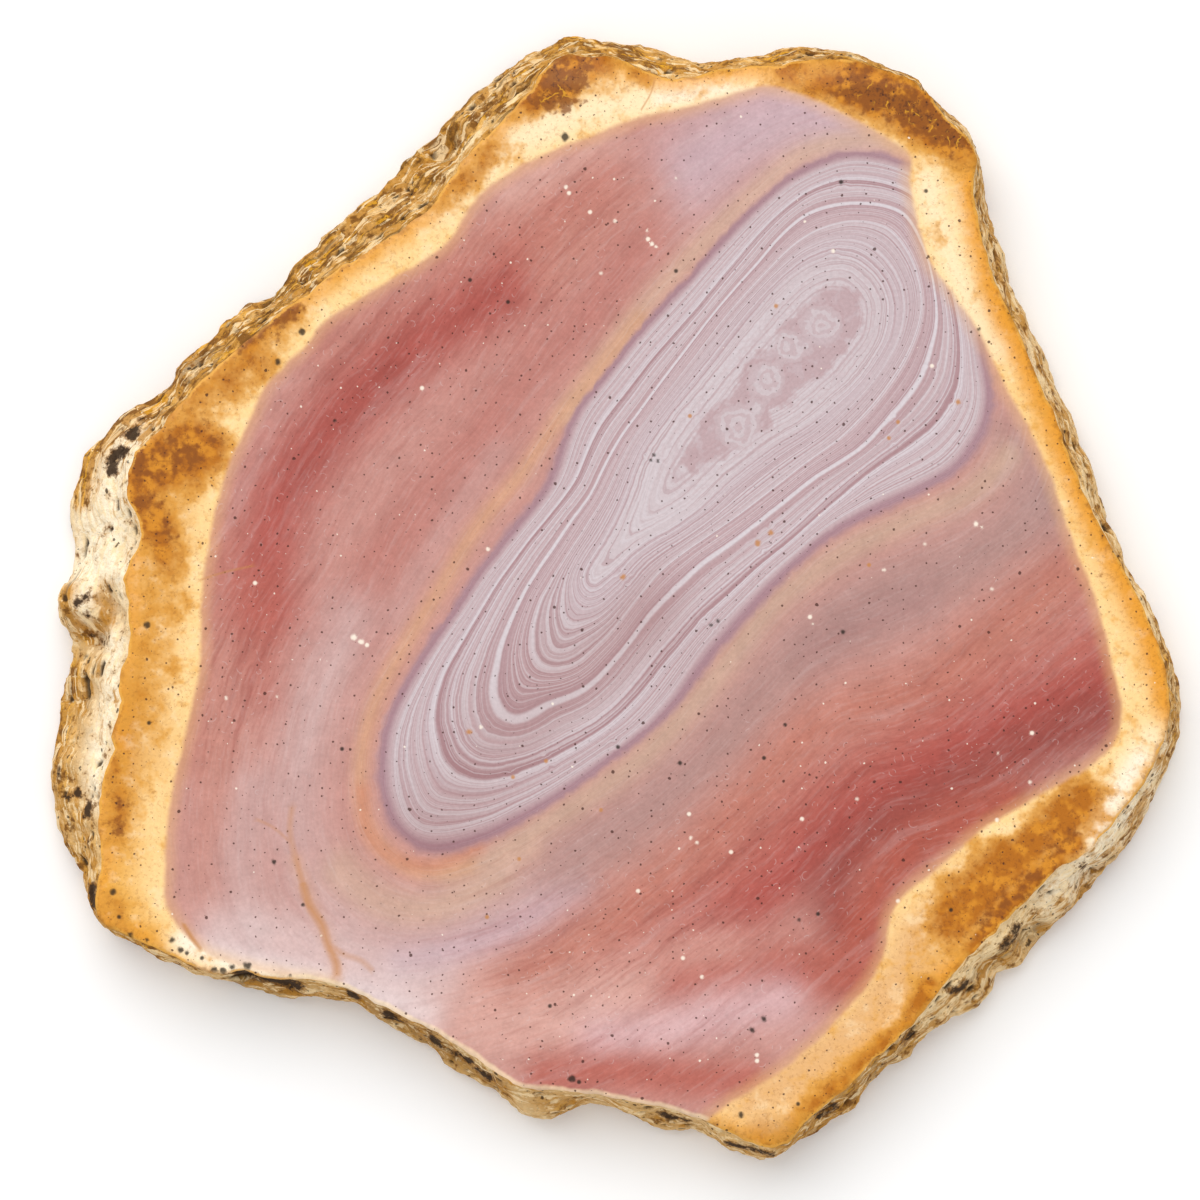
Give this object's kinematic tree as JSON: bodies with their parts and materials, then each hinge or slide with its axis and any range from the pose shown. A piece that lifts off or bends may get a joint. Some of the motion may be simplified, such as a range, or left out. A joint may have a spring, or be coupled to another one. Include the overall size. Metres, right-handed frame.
{
  "type": "polychrome jasper slice",
  "caption": "Flat slab of banded stone with a polished face showing a nested eye pattern, a rough rind all round and a flat sawn back that it rests on.",
  "frame": {"origin": "middle of the slice's box, on the sawn back that it rests on", "axes": "+Z out of the polished face, +X to the right of the face and +Y up it, with the rounded end of the eye pattern at the upper right"},
  "size_m": [0.1144, 0.1134, 0.009],
  "materials": {
    "jasper": "satin polished face in red, rose, lilac and cream bands, chalky ochre and cream rind, matte sawn back"
  },
  "bodies": {
    "root": {"jasper_slice": "jasper"}
  },
  "joints": []
}
